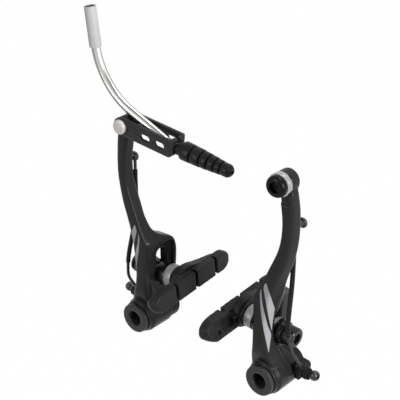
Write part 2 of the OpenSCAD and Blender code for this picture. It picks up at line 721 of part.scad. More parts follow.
module paired(side, name) {
    if (name == "arm") color("#26272a") on_side(side) if (side == "left_") left_arm_solid(); else right_arm_solid();
    if (name == "pivot_sleeve") color("#2c2d30") on_side(side, false) pivot_sleeve();
    if (name == "pivot_bush") color("#8c7340") on_side(side, false) pivot_bush();
    if (name == "return_spring") color("#77787a") on_side(side) return_spring();
    if (name == "spring_tube") color("#1c1c1d") on_side(side) spring_tube();
    if (name == "spring_holder") color("#1d1d1f") on_side(side) spring_holder();
    if (name == "stop_pin") color("#9a9b9d") on_side(side) stop_pin();
    if (name == "tension_screw") color("#3a3a3c") on_side(side) tension_screw();
    if (name == "spring_peg") color("#2a2a2c") on_side(side) spring_peg();
    if (name == "brake_pad") color("#232426") on_pad_side(side) brake_pad();
    if (name == "pad_stud") color("#8f9092") on_pad_side(side) pad_stud();
    if (name == "inner_dome_washer") color("#1f1f20") on_pad_side(side) dome_washer(-1);
    if (name == "inner_cup_washer") color("#c9c9c6") on_pad_side(side) cup_washer(-1, inner_cup_back);
    if (name == "outer_dome_washer") color("#b9b9b7") on_pad_side(side) dome_washer(1);
    if (name == "outer_cup_washer") color("#c9c9c6") on_pad_side(side) cup_washer(1, outer_cup_back);
    if (name == "nut_washer") color("#1e1e20") on_pad_side(side) nut_washer();
    if (name == "pad_nut") color("#1e1e20") on_pad_side(side) pad_nut();
}

for (side = SIDES, name = PAIRS) {
    paired(side, name);
}
color("#2b2c2f") cable_link();
color("#d9d6cf") link_pin();
color("#c4c5c6") guide_tube();
color("#d4d4d2") tube_ferrule();
color("#1a1a1a") tube_liner();
color("#202022") cable_boot();
color("#1f2022") cable_anchor_bolt();
color("#d2d2cf") cable_clamp_washer();
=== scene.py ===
import logging
import math
from dataclasses import dataclass, field
from enum import Enum
from typing import Sequence

import bmesh
import bpy
from mathutils import Matrix, Vector


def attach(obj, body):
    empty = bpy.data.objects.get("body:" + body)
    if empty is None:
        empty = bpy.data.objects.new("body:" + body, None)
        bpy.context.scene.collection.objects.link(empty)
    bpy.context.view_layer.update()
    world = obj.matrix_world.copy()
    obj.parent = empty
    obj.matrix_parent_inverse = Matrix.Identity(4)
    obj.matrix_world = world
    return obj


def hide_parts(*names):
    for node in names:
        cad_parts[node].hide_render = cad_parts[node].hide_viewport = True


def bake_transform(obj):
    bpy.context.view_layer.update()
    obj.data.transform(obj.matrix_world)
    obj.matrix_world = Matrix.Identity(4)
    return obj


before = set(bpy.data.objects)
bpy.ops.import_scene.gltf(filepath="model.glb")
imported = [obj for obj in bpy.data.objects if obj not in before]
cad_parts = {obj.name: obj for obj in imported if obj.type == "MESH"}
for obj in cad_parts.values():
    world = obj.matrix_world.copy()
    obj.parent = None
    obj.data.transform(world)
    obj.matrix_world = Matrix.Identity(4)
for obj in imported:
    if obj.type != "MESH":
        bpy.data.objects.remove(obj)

LOG = logging.getLogger("rim_brake")
MM = 0.001
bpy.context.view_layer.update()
LEAN = math.radians(3.27)
HALF_GAP = 40.0
ARM_REACH = 105.8
LINK_SLOPE = math.radians(4.0)
# Corners of a solid's triangles closer than this are one corner; faces that turn by less than this are one face
WELD = 2e-6
FLAT_ANGLE = math.radians(0.6)
# Angle for pieces whose every edge is shaded smooth
ALL_SMOOTH = 180.0
# Sockets of a Mix node set to colours: factor, first and second colour, and the result
MIX_INPUTS = (0, 6, 7)
MIX_RESULT = 2


class Side(Enum):
    """The two sides of the brake, each with the sign of its X."""

    LEFT = -1
    RIGHT = 1

    @property
    def word(self) -> str:
        """Name of the side as the nodes and bodies have it."""
        return self.name.lower()

    def place(self) -> Matrix:
        """Matrix from the right arm's own millimetres to this side's place in metres."""
        right = Matrix.Translation((HALF_GAP * MM, 0, 0)) @ Matrix.Rotation(LEAN, 4, "Y") @ Matrix.Scale(MM, 4)
        return right if self is Side.RIGHT else Matrix.Scale(-1, 4, (1, 0, 0)) @ right


def link_place() -> Matrix:
    """Place of the cable link.

    Returns:
        The matrix from the link's own millimetres, with the pin at the origin, to metres.
    """
    x = -HALF_GAP - ARM_REACH * math.sin(LEAN)
    z = ARM_REACH * math.cos(LEAN)
    return (Matrix.Translation((x * MM, 0, z * MM)) @ Matrix.Rotation(LINK_SLOPE, 4, "Y")
            @ Matrix.Scale(MM, 4))


# Shader groups

def new_group(name: str, inputs: Sequence[tuple[str, str, object]],
              outputs: Sequence[tuple[str, str]]) -> bpy.types.NodeTree:
    """An empty shader node group with its sockets.

    Args:
        name: name of the group.
        inputs: name, socket type and default value of each input.
        outputs: name and socket type of each output.

    Returns:
        The node tree, with one Group Input node "in" and one Group Output node "out".
    """
    tree = bpy.data.node_groups.new(name, "ShaderNodeTree")
    for label, kind, value in inputs:
        socket = tree.interface.new_socket(label, in_out="INPUT", socket_type=kind)
        if value is not None:
            socket.default_value = value
    for label, kind in outputs:
        tree.interface.new_socket(label, in_out="OUTPUT", socket_type=kind)
    tree.nodes.new("NodeGroupInput").name = "in"
    tree.nodes.new("NodeGroupOutput").name = "out"
    return tree


def math_node(tree: bpy.types.NodeTree, operation: str, first: object, second: object = None,
              third: object = None) -> bpy.types.NodeSocket:
    """Adds a Math node and returns its output.

    Args:
        tree: node tree to add it to.
        operation: the Math node's operation.
        first: a socket or a number.
        second: a socket or a number, where the operation takes two.
        third: a socket or a number, where the operation takes three.

    Returns:
        The node's output socket.
    """
    node = tree.nodes.new("ShaderNodeMath")
    node.operation = operation
    for slot, value in zip(node.inputs, (first, second, third)):
        if value is None:
            continue
        if isinstance(value, (int, float)):
            slot.default_value = value
        else:
            tree.links.new(value, slot)
    return node.outputs[0]


def mix_colors(tree: bpy.types.NodeTree, factor: object, first: object, second: object,
               kind: str = "MIX") -> bpy.types.NodeSocket:
    """Adds a Mix node for colours and returns its output.

    Args:
        tree: node tree to add it to.
        factor: a socket or a number.
        first: a socket or a colour with its alpha.
        second: a socket or a colour with its alpha.
        kind: the node's way of mixing.

    Returns:
        The mixed colour's socket.
    """
    node = tree.nodes.new("ShaderNodeMix")
    node.data_type = "RGBA"
    node.blend_type = kind
    for index, value in zip(MIX_INPUTS, (factor, first, second)):
        if isinstance(value, bpy.types.NodeSocket):
            tree.links.new(value, node.inputs[index])
        else:
            node.inputs[index].default_value = value
    return node.outputs[MIX_RESULT]


def noise_group() -> bpy.types.NodeTree:
    """Makes the group of soft clouds and fine grain, for paint, rubber and castings.

    Returns:
        The group, which puts out Cloud and Grain.
    """
    tree = new_group("clouds_and_grain",
                     [("Vector", "NodeSocketVector", None), ("Cloud Scale", "NodeSocketFloat", 60.0),
                      ("Grain Scale", "NodeSocketFloat", 2500.0)],
                     [("Cloud", "NodeSocketFloat"), ("Grain", "NodeSocketFloat")])
    source, sink = tree.nodes["in"], tree.nodes["out"]
    for label, scale, detail in (("Cloud", "Cloud Scale", 3.0), ("Grain", "Grain Scale", 2.0)):
        noise = tree.nodes.new("ShaderNodeTexNoise")
        noise.inputs["Detail"].default_value = detail
        tree.links.new(source.outputs["Vector"], noise.inputs["Vector"])
        tree.links.new(source.outputs[scale], noise.inputs["Scale"])
        tree.links.new(noise.outputs["Fac"], sink.inputs[label])
    return tree


def rings_group() -> bpy.types.NodeTree:
    """Makes the group of fine turning marks round the Z axis of its vector.

    Returns:
        The group, which puts out Height.
    """
    tree = new_group("turning_marks",
                     [("Vector", "NodeSocketVector", None), ("Marks Per Metre", "NodeSocketFloat", 9000.0)],
                     [("Height", "NodeSocketFloat")])
    source, sink = tree.nodes["in"], tree.nodes["out"]
    parts = tree.nodes.new("ShaderNodeSeparateXYZ")
    tree.links.new(source.outputs["Vector"], parts.inputs[0])
    across = math_node(tree, "MULTIPLY", parts.outputs["X"], parts.outputs["X"])
    along = math_node(tree, "MULTIPLY_ADD", parts.outputs["Y"], parts.outputs["Y"], across)
    radius = math_node(tree, "SQRT", along)
    place = math_node(tree, "ADD", radius, parts.outputs["Z"])
    scaled = math_node(tree, "MULTIPLY", place, source.outputs["Marks Per Metre"])
    noise = tree.nodes.new("ShaderNodeTexNoise")
    noise.noise_dimensions = "1D"
    noise.inputs["Scale"].default_value = 1.0
    tree.links.new(scaled, noise.inputs["W"])
    tree.links.new(noise.outputs["Fac"], sink.inputs["Height"])
    return tree


@dataclass(frozen=True)
class Stripe:
    """One pale stripe on the arm's front: height, inner edge and outer edge in the arm's own millimetres."""

    rows: tuple[tuple[float, float, float], ...]


STRIPES = (
    Stripe(((17.9, 2.90, 3.05), (21.9, 1.33, 3.18), (25.8, -0.18, 3.30), (27.6, -0.82, 3.33), (31.0, -1.98, 1.49),
            (34.1, -2.92, -0.23), (37.7, -3.82, -1.67), (40.9, -4.45, -2.92), (44.3, -4.92, -3.93),
            (47.0, -5.24, -4.50), (49.2, -4.92, -4.80))),
    Stripe(((30.4, 3.18, 3.30), (33.3, 2.10, 3.34), (36.2, 1.00, 3.43), (39.2, -0.04, 3.52), (42.9, -1.28, 3.60),
            (45.0, -1.98, 2.51), (47.9, -2.87, 0.83), (50.8, -3.50, -0.89), (53.7, -2.60, -2.50))),
)
STRIPE_Z = (14.0, 58.0)
STRIPE_X = (-6.0, 8.0)
# The stripes are read on a slanted plane: its depth at the arm's front edge, and how X and Z shift with depth
STRIPE_PLANE_Y = 1.5
STRIPE_LEAN = (0.677, 0.885)
# Only paint that faces this way by this much, and lies this near the front, takes the print
STRIPE_FRONT = (0.6, -0.8, 0.0)
STRIPE_FACING = 0.15
STRIPE_DEPTH = 8.0
STRIPE_COLOR = (0.36, 0.37, 0.385, 1)
# Middle of the turning marks on the pads' washers
STUD_MIDDLE = (0.0, 14.0 * MM, 22.0 * MM)
TUBE_R = 2.2
TUBE_MIDDLE = 3.75
# Painted reflection: brightness of the light and dark bands painted along the tube, by distance from its middle
# plane, as a share of its radius; they stand in for what the polished metal mirrors
PAINTED_REFLECTION_BANDS = ((0.0, 0.95), (0.17, 1.0), (0.27, 0.6), (0.34, 0.14), (0.43, 0.12), (0.53, 0.36), (0.68, 0.58),
           (0.86, 0.66), (0.96, 0.40), (1.0, 0.28))


def stripe_group() -> bpy.types.NodeTree:
    """Makes the group that masks the two printed stripes.

    Returns:
        The group, which puts out Mask.
    """
    tree = new_group("stripe_mask", [("Vector", "NodeSocketVector", None), ("Normal", "NodeSocketVector", None)],
                     [("Mask", "NodeSocketFloat")])
    source, sink = tree.nodes["in"], tree.nodes["out"]
    parts = tree.nodes.new("ShaderNodeSeparateXYZ")
    tree.links.new(source.outputs["Vector"], parts.inputs[0])
    # The print follows a plane that leans round the edge, so it wraps onto the outer side
    depth = math_node(tree, "SUBTRACT", parts.outputs["Y"], STRIPE_PLANE_Y * MM)
    flat_x = math_node(tree, "MULTIPLY_ADD", depth, STRIPE_LEAN[0], parts.outputs["X"])
    flat_z = math_node(tree, "MULTIPLY_ADD", depth, STRIPE_LEAN[1], parts.outputs["Z"])
    low, high = STRIPE_Z
    left, right = STRIPE_X
    height = math_node(tree, "MULTIPLY_ADD", flat_z, 1.0 / (high - low) / MM, -low / (high - low))
    across = math_node(tree, "MULTIPLY_ADD", flat_x, 1.0 / (right - left) / MM, -left / (right - left))
    total = None
    for stripe in STRIPES:
        edges = []
        for column in (1, 2):
            curve = tree.nodes.new("ShaderNodeFloatCurve")
            line = curve.mapping.curves[0]
            points = [((row[0] - low) / (high - low), (row[column] - left) / (right - left)) for row in stripe.rows]
            line.points[0].location = points[0]
            line.points[1].location = points[-1]
            for point in points[1:-1]:
                line.points.new(*point)
            curve.mapping.update()
            tree.links.new(height, curve.inputs["Value"])
            edges.append(curve.outputs[0])
        inner = math_node(tree, "GREATER_THAN", across, edges[0])
        outer = math_node(tree, "LESS_THAN", across, edges[1])
        above = math_node(tree, "GREATER_THAN", height, (stripe.rows[0][0] - low) / (high - low))
        below = math_node(tree, "LESS_THAN", height, (stripe.rows[-1][0] - low) / (high - low))
        within = math_node(tree, "MULTIPLY", math_node(tree, "MULTIPLY", inner, outer),
                           math_node(tree, "MULTIPLY", above, below))
        total = within if total is None else math_node(tree, "MAXIMUM", total, within)
    front = tree.nodes.new("ShaderNodeVectorMath")
    front.operation = "DOT_PRODUCT"
    front.inputs[1].default_value = STRIPE_FRONT
    tree.links.new(source.outputs["Normal"], front.inputs[0])
    facing = math_node(tree, "GREATER_THAN", front.outputs["Value"], STRIPE_FACING)
    near = math_node(tree, "LESS_THAN", parts.outputs["Y"], STRIPE_DEPTH * MM)
    printed = math_node(tree, "MULTIPLY", total, math_node(tree, "MULTIPLY", facing, near))
    tree.links.new(printed, sink.inputs["Mask"])
    return tree


class Groups:
    """The shared shader groups, each made once."""

    def __init__(self) -> None:
        """Makes the groups."""
        self.noise = noise_group()
        self.rings = rings_group()
        self.stripes = stripe_group()

    @staticmethod
    def add(tree: bpy.types.NodeTree, group: bpy.types.NodeTree) -> bpy.types.Node:
        """Adds one of the groups to a material's tree.

        Args:
            tree: the material's node tree.
            group: the group.

        Returns:
            The new group node.
        """
        node = tree.nodes.new("ShaderNodeGroup")
        node.node_tree = group
        return node


GROUPS = Groups()


# Finishes

class Surface(Enum):
    """How a finish's fine surface is made."""

    CAST = "cast"
    TURNED_Y = "turned about the post axis"
    TURNED_X = "turned about the stud axis"
    MOULDED = "moulded"


@dataclass(frozen=True)
class Finish:
    """One finish: its colours, gloss and fine surface.

    The cloud mixes the two colours and moves the roughness; the grain is only a bump.
    """

    name: str
    color: tuple[float, float, float]
    worn: tuple[float, float, float]
    roughness: float
    metallic: float = 0.0
    specular: float = 0.5
    spread: float = 0.06
    cloud_scale: float = 60.0
    grain_scale: float = 2500.0
    bump: float = 0.1
    bump_depth: float = 0.00002
    surface: Surface = Surface.CAST
    striped: Side | None = None
    reflection_painted: bool = False

    def material(self) -> bpy.types.Material:
        """Builds the material once.

        Returns:
            The material, or the one that was built before.
        """
        made = bpy.data.materials.get(self.name)
        if made is not None:
            return made
        material = bpy.data.materials.new(self.name)
        material.use_nodes = True
        tree = material.node_tree
        shader = tree.nodes["Principled BSDF"]
        shader.inputs["Metallic"].default_value = self.metallic
        shader.inputs["Specular IOR Level"].default_value = self.specular
        place = tree.nodes.new("ShaderNodeTexCoord")
        noise = GROUPS.add(tree, GROUPS.noise)
        noise.inputs["Cloud Scale"].default_value = self.cloud_scale
        noise.inputs["Grain Scale"].default_value = self.grain_scale
        tree.links.new(place.outputs["Object"], noise.inputs["Vector"])
        color = mix_colors(tree, noise.outputs["Cloud"], (*self.color, 1), (*self.worn, 1))
        if self.striped is not None:
            color = self.add_stripes(tree, place, color)
        # Painted reflection: light and dark bands in the tube's colour
        if self.reflection_painted:
            color = self.add_painted_reflection(tree, place, color)
        tree.links.new(color, shader.inputs["Base Color"])
        rough = math_node(tree, "MULTIPLY_ADD", noise.outputs["Cloud"], 2 * self.spread,
                          self.roughness - self.spread)
        tree.links.new(rough, shader.inputs["Roughness"])
        bump = tree.nodes.new("ShaderNodeBump")
        bump.inputs["Strength"].default_value = self.bump
        bump.inputs["Distance"].default_value = self.bump_depth
        tree.links.new(self.height(tree, place, noise), bump.inputs["Height"])
        tree.links.new(bump.outputs["Normal"], shader.inputs["Normal"])
        return material

    def height(self, tree: bpy.types.NodeTree, place: bpy.types.Node, noise: bpy.types.Node) -> bpy.types.NodeSocket:
        """Height of the fine surface.

        Args:
            tree: the material's node tree.
            place: its Texture Coordinate node.
            noise: its clouds and grain.

        Returns:
            The socket that feeds the bump.
        """
        if self.surface in (Surface.CAST, Surface.MOULDED):
            return noise.outputs["Grain"]
        turn = tree.nodes.new("ShaderNodeMapping")
        turn.vector_type = "TEXTURE"
        if self.surface is Surface.TURNED_Y:
            turn.inputs["Rotation"].default_value = (math.pi / 2, 0, 0)
        else:
            turn.inputs["Location"].default_value = STUD_MIDDLE
            turn.inputs["Rotation"].default_value = (0, math.pi / 2, 0)
        tree.links.new(place.outputs["Object"], turn.inputs["Vector"])
        rings = GROUPS.add(tree, GROUPS.rings)
        tree.links.new(turn.outputs["Vector"], rings.inputs["Vector"])
        return rings.outputs["Height"]

    def add_painted_reflection(self, tree: bpy.types.NodeTree, place: bpy.types.Node,
                    color: bpy.types.NodeSocket) -> bpy.types.NodeSocket:
        """Paints light and dark lengthwise bands into the tube's colour, set by distance from its middle plane:
        painted reflection and painted shade, standing in for what the polished metal mirrors.

        Args:
            tree: the material's node tree.
            place: its Texture Coordinate node.
            color: the plain metal's colour.

        Returns:
            The colour with the painted reflection bands in it.
        """
        parts = tree.nodes.new("ShaderNodeSeparateXYZ")
        tree.links.new(place.outputs["Object"], parts.inputs[0])
        across = math_node(tree, "MULTIPLY_ADD", parts.outputs["Y"], 1.0 / (TUBE_R * MM), -TUBE_MIDDLE / TUBE_R)
        # Painted reflection and shade: a ramp of brightness across the tube
        ramp = tree.nodes.new("ShaderNodeValToRGB")
        tree.links.new(math_node(tree, "ABSOLUTE", across), ramp.inputs[0])
        bands = ramp.color_ramp
        bands.interpolation = "EASE"
        (first_at, first), *middle, (last_at, last) = PAINTED_REFLECTION_BANDS
        for stop, at, value in ((bands.elements[0], first_at, first), (bands.elements[1], last_at, last)):
            stop.position = at
            stop.color = (value, value, value, 1)
        for at, value in middle:
            bands.elements.new(at).color = (value, value, value, 1)
        return mix_colors(tree, 1.0, color, ramp.outputs["Color"], "MULTIPLY")

    def add_stripes(self, tree: bpy.types.NodeTree, place: bpy.types.Node,
                    color: bpy.types.NodeSocket) -> bpy.types.NodeSocket:
        """Prints the two stripes over the paint.

        Args:
            tree: the material's node tree.
            place: its Texture Coordinate node.
            color: the paint under the stripes.

        Returns:
            The colour with the stripes on it.
        """
        sign = self.striped.value
        vectors = []
        for label, kind, location in (("Object", "TEXTURE", HALF_GAP * MM * sign), ("Normal", "TEXTURE", 0.0)):
            turn = tree.nodes.new("ShaderNodeMapping")
            turn.vector_type = kind
            turn.inputs["Location"].default_value = (location, 0, 0)
            turn.inputs["Rotation"].default_value = (0, LEAN * sign, 0)
            turn.inputs["Scale"].default_value = (sign, 1, 1)
            tree.links.new(place.outputs[label], turn.inputs["Vector"])
            vectors.append(turn.outputs["Vector"])
        mask = GROUPS.add(tree, GROUPS.stripes)
        tree.links.new(vectors[0], mask.inputs["Vector"])
        tree.links.new(vectors[1], mask.inputs["Normal"])
        return mix_colors(tree, mask.outputs["Mask"], color, STRIPE_COLOR)


PAINT = {side: Finish(f"arm_paint_{side.word}", (0.014, 0.014, 0.0134), (0.022, 0.022, 0.0212), 0.3,
                      specular=0.12, grain_scale=3500.0, bump=0.12, striped=side)
         for side in Side}
SLEEVE_STEEL = Finish("sleeve_steel_dark", (0.030, 0.030, 0.031), (0.042, 0.042, 0.042), 0.42, specular=0.2,
                      surface=Surface.TURNED_Y, bump=0.1)
BRONZE = Finish("bronze_bush_metal", (0.42, 0.28, 0.13), (0.34, 0.22, 0.11), 0.35, metallic=1.0)
WIRE_STEEL = Finish("spring_wire_steel", (0.045, 0.045, 0.045), (0.03, 0.03, 0.03), 0.34, metallic=0.6)
COVER_PLASTIC = Finish("wire_cover_plastic", (0.006, 0.006, 0.006), (0.01, 0.01, 0.01), 0.38, specular=0.15,
                       surface=Surface.MOULDED)
HOLDER_PLASTIC = Finish("holder_black_plastic", (0.006, 0.006, 0.006), (0.010, 0.010, 0.010), 0.4, specular=0.12,
                        surface=Surface.MOULDED, bump=0.15)
PLAIN_STEEL = Finish("plain_steel", (0.45, 0.45, 0.45), (0.36, 0.36, 0.36), 0.3, metallic=1.0)
SCREW_STEEL = Finish("screw_steel_black", (0.012, 0.012, 0.012), (0.03, 0.03, 0.03), 0.3, specular=0.45)
RUBBER = Finish("pad_rubber_grey", (0.008, 0.008, 0.009), (0.020, 0.020, 0.0215), 0.45, specular=0.13, spread=0.08,
                cloud_scale=140.0, grain_scale=3000.0, bump=0.3, bump_depth=0.00004, surface=Surface.MOULDED)
BOOT_RUBBER = Finish("boot_rubber_black", (0.005, 0.005, 0.0055), (0.009, 0.009, 0.0095), 0.34, specular=0.14,
                     spread=0.07, cloud_scale=160.0, grain_scale=3000.0, bump=0.25, bump_depth=0.00003,
                     surface=Surface.MOULDED)
ZINC = Finish("zinc_plated_washer", (0.36, 0.36, 0.356), (0.27, 0.27, 0.267), 0.4, metallic=0.2, specular=0.3,
              surface=Surface.TURNED_X)
BLACK_PLATE = Finish("black_plate", (0.004, 0.004, 0.004), (0.010, 0.010, 0.010), 0.25, specular=0.25)
# Darker, duller copy of the black plating for the anchor bolt: painted shade, for the shade its face takes from how
# the light falls
BOLT_BLACK_SHADED = Finish("bolt_black_plate_shaded", (0.002, 0.002, 0.002), (0.006, 0.006, 0.006), 0.22, specular=0.12)
LINK_PAINT = Finish("link_paint_black", (0.015, 0.015, 0.0155), (0.022, 0.022, 0.023), 0.34, specular=0.17,
                    bump=0.12)
PIN_SILVER = Finish("pin_silver_satin", (0.58, 0.56, 0.53), (0.52, 0.50, 0.47), 0.5, metallic=0.35,
                    surface=Surface.TURNED_Y)
# The tube's colour carries painted light and dark reflection bands
TUBE_CHROME = Finish("tube_polished", (0.84, 0.84, 0.81), (0.76, 0.76, 0.73), 0.3, metallic=1.0, spread=0.03,
                     grain_scale=300.0, bump=0.01, reflection_painted=True)
FERRULE_SILVER = Finish("ferrule_satin", (0.50, 0.50, 0.495), (0.45, 0.45, 0.445), 0.5, specular=0.3, bump=0.08)
CLAMP_CHROME = Finish("clamp_bright", (0.50, 0.50, 0.49), (0.40, 0.40, 0.39), 0.2, metallic=0.9, spread=0.03,
                      surface=Surface.TURNED_Y)


# Making pieces

def sharp_edges(work: bmesh.types.BMesh, degrees: float) -> list[bmesh.types.BMEdge]:
    """Edges between two faces that turn by more than an angle."""
    limit = math.radians(degrees)
    return [e for e in work.edges if len(e.link_faces) == 2 and e.calc_face_angle(0.0) > limit]


def soften(work: bmesh.types.BMesh, width: float, degrees: float = 28.0, segments: int = 2) -> None:
    """Rounds the sharp edges.

    Args:
        work: mesh to change.
        width: width of the rounding, in the mesh's own unit.
        degrees: only edges that turn by more than this are rounded.
        segments: faces across each rounding.
    """
    edges = sharp_edges(work, degrees)
    if edges and width > 0:
        bmesh.ops.bevel(work, geom=edges, offset=width, offset_type="OFFSET", segments=segments, profile=0.5,
                        affect="EDGES", clamp_overlap=True, material=-1)


def turned(profile: Sequence[tuple[float, float]], round_off: float = 0.15, steps: int = 96,
           closed: bool = True) -> bmesh.types.BMesh:
    """Body turned about the Z axis.

    Args:
        profile: radius and height of each corner, in millimetres.
        round_off: width of the rounding on its edges.
        steps: faces round the axis.
        closed: whether the last corner joins the first, as on a ring.

    Returns:
        The mesh, in millimetres.
    """
    work = bmesh.new()
    points = [work.verts.new((radius, 0, height)) for radius, height in profile]
    pairs = list(zip(points, points[1:])) + ([(points[-1], points[0])] if closed else [])
    lines = [work.edges.new(pair) for pair in pairs]
    bmesh.ops.spin(work, geom=points + lines, cent=(0, 0, 0), axis=(0, 0, 1), angle=2 * math.pi, steps=steps,
                   use_merge=True, use_duplicate=False)
    bmesh.ops.remove_doubles(work, verts=work.verts, dist=1e-4)
    bmesh.ops.recalc_face_normals(work, faces=work.faces)
    soften(work, round_off)
    return work


def smooth_path(points: Sequence[Sequence[float]], between: int) -> list[Vector]:
    """Points on a smooth curve through others.

    Args:
        points: the points that it goes through.
        between: steps from each point to the next.

    Returns:
        The denser points.
    """
    rows = [Vector(p) for p in points]
    made: list[Vector] = []
    for i in range(len(rows) - 1):
        before, start = rows[max(i - 1, 0)], rows[i]
        end, after = rows[i + 1], rows[min(i + 2, len(rows) - 1)]
        for k in range(between):
            t = k / between
            made.append(0.5 * (2 * start + (end - before) * t + (2 * before - 5 * start + 4 * end - after) * t * t
                               + (3 * start - before - 3 * end + after) * t ** 3))
    return made + [rows[-1]]


def swept(path: Sequence[Vector], radii: Sequence[float], segments: int = 24) -> bmesh.types.BMesh:
    """Round rod along a path, drawn out ring by ring from a circle.

    Args:
        path: centre of each ring.
        radii: radius of each ring.
        segments: faces round the rod.

    Returns:
        The closed mesh, in the path's unit.
    """
    def ring_matrix(i: int) -> Matrix:
        """Place of one ring, square to the path.

        Args:
            i: number of the ring.

        Returns:
            The matrix from a circle of radius 1 to the ring.
        """
        ahead = (path[min(i + 1, len(path) - 1)] - path[max(i - 1, 0)]).normalized()
        side = ahead.cross(Vector((0, 1, 0))).normalized()
        up = side.cross(ahead)
        turn = Matrix((side, up, ahead)).transposed().to_4x4()
        return Matrix.Translation(path[i]) @ turn @ Matrix.Scale(radii[i], 4)

    work = bmesh.new()
    made = bmesh.ops.create_circle(work, cap_ends=True, cap_tris=False, segments=segments, radius=1.0)
    loop = made["verts"]
    bmesh.ops.transform(work, matrix=ring_matrix(0), verts=loop)
    edges = list({e for v in loop for e in v.link_edges})
    for i in range(1, len(path)):
        step = bmesh.ops.extrude_edge_only(work, edges=edges)["geom"]
        fresh = [g for g in step if isinstance(g, bmesh.types.BMVert)]
        edges = [g for g in step if isinstance(g, bmesh.types.BMEdge)]
        move = ring_matrix(i) @ ring_matrix(i - 1).inverted()
        bmesh.ops.transform(work, matrix=move, verts=fresh)
    bmesh.ops.contextual_create(work, geom=edges)
    bmesh.ops.recalc_face_normals(work, faces=work.faces)
    return work


def show(work: bmesh.types.BMesh, name: str, place: Matrix, finish: Finish, body: str,
         nodes: Sequence[str] = (), sharp: float = 32.0) -> bpy.types.Object:
    """Args:
        work: mesh in the place's own unit; it is used up.
        name: name of the piece.
        place: matrix from that unit to the row frame in metres.
        finish: its finish.
        body: body that it rides on.
        nodes: nodes that it stands for.
        sharp: angle in degrees above which an edge stays sharp in shading.

    Returns:
        The piece.
    """
    bmesh.ops.transform(work, matrix=place, verts=work.verts)
    if place.determinant() < 0:
        bmesh.ops.reverse_faces(work, faces=work.faces)
    mesh = bpy.data.meshes.new(name)
    work.to_mesh(mesh)
    work.free()
    return declare(mesh, name, finish, body, nodes, sharp)


def declare(mesh: bpy.types.Mesh, name: str, finish: Finish, body: str, nodes: Sequence[str],
            sharp: float) -> bpy.types.Object:
    """Makes an object of a mesh that is in place, dresses it, hangs it on its body and hides the nodes that it
    stands for.

    Args:
        mesh: finished mesh in metres.
        name: name of the piece.
        finish: its finish.
        body: body that it rides on, or nothing for a piece that rides on none.
        nodes: nodes that it stands for.
        sharp: angle in degrees above which an edge stays sharp in shading.

    Returns:
        The piece.
    """
    mesh.shade_smooth()
    if sharp < ALL_SMOOTH:
        mesh.set_sharp_from_angle(angle=math.radians(sharp))
    mesh.materials.clear()
    mesh.materials.append(finish.material())
    piece = bpy.data.objects.new(name, mesh)
    bpy.context.scene.collection.objects.link(piece)
    if body:
        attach(piece, body)
    if nodes:
        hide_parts(*nodes)
    LOG.info("%s: %d faces on %s", name, len(mesh.polygons), body)
    return piece


def merged(node: str) -> bmesh.types.BMesh:
    """Copies a node's triangles and merges them.

    Args:
        node: name of the node.

    Returns:
        The copy, in metres.
    """
    work = bmesh.new()
    work.from_mesh(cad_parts[node].data)
    bmesh.ops.remove_doubles(work, verts=work.verts, dist=WELD)
    return work


def node_copy(node: str) -> bmesh.types.BMesh:
    """Copies a node's mesh, merged and with its flat areas joined.

    Args:
        node: name of the node.

    Returns:
        The copy, in metres.
    """
    work = merged(node)
    bmesh.ops.dissolve_limit(work, angle_limit=FLAT_ANGLE, verts=work.verts, edges=work.edges)
    return work


def crisp(node: str, finish: Finish, body: str, width: float = 0.12, degrees: float = 35.0) -> None:
    """A machined or pressed part: a node's own shape with softened edges.

    Args:
        node: node that it stands for.
        finish: its finish.
        body: body that it rides on.
        width: width of the softened edges in millimetres.
        degrees: angle above which an edge is softened.
    """
    work = node_copy(node)
    soften(work, width * MM, degrees)
    show(work, f"{node}_form", Matrix.Identity(4), finish, body, [node])


def flowing(work: bmesh.types.BMesh, name: str, voxel: float, rounds: int) -> bpy.types.Mesh:
    """Joins the closed forms in a mesh and lets their corners flow into each other.

    Args:
        work: mesh in metres; it is used up.
        name: name of the new mesh.
        voxel: size of the even mesh in millimetres.
        rounds: passes of smoothing.

    Returns:
        The even, smoothed mesh.
    """
    rough = bpy.data.meshes.new(f"{name}_rough")
    work.to_mesh(rough)
    work.free()
    holder = bpy.data.objects.new(f"{name}_rough", rough)
    bpy.context.scene.collection.objects.link(holder)
    even = holder.modifiers.new("even", "REMESH")
    even.mode = "VOXEL"
    even.voxel_size = voxel * MM * 1.0
    flow = holder.modifiers.new("flow", "SMOOTH")
    flow.factor = 0.5
    flow.iterations = rounds
    graph = bpy.context.evaluated_depsgraph_get()
    mesh = bpy.data.meshes.new_from_object(holder.evaluated_get(graph))
    bpy.data.objects.remove(holder)
    bpy.data.meshes.remove(rough)
    mesh.name = name
    return mesh


def cast(node: str, finish: Finish, body: str, voxel: float, rounds: int) -> None:
    """A cast or moulded part: a node's own shape with all its corners flowing into each other.

    Args:
        node: node that it stands for.
        finish: its finish.
        body: body that it rides on.
        voxel: size of the even mesh in millimetres.
        rounds: passes of smoothing.
    """
    name = f"{node}_form"
    declare(flowing(merged(node), name, voxel, rounds), name, finish, body, [node], ALL_SMOOTH)


# Camera, floor and light

@dataclass(frozen=True)
class Lamp:
    """One soft box: its name, place and size in metres, and its power in watts."""

    name: str
    place: tuple[float, float, float]
    size: tuple[float, float]
    power: float

    def hang(self, target: tuple[float, float, float]) -> None:
        """Adds the lamp to the scene, turned to a target.

        Args:
            target: point that it looks at, in metres.
        """
        data = bpy.data.lights.new(self.name, "AREA")
        data.shape = "RECTANGLE"
        data.size, data.size_y = self.size
        data.energy = self.power
        lamp = bpy.data.objects.new(self.name, data)
        bpy.context.scene.collection.objects.link(lamp)
        aim = Vector(target) - Vector(self.place)
        lamp.rotation_euler = aim.to_track_quat("-Z", "Y").to_euler()
        lamp.location = self.place


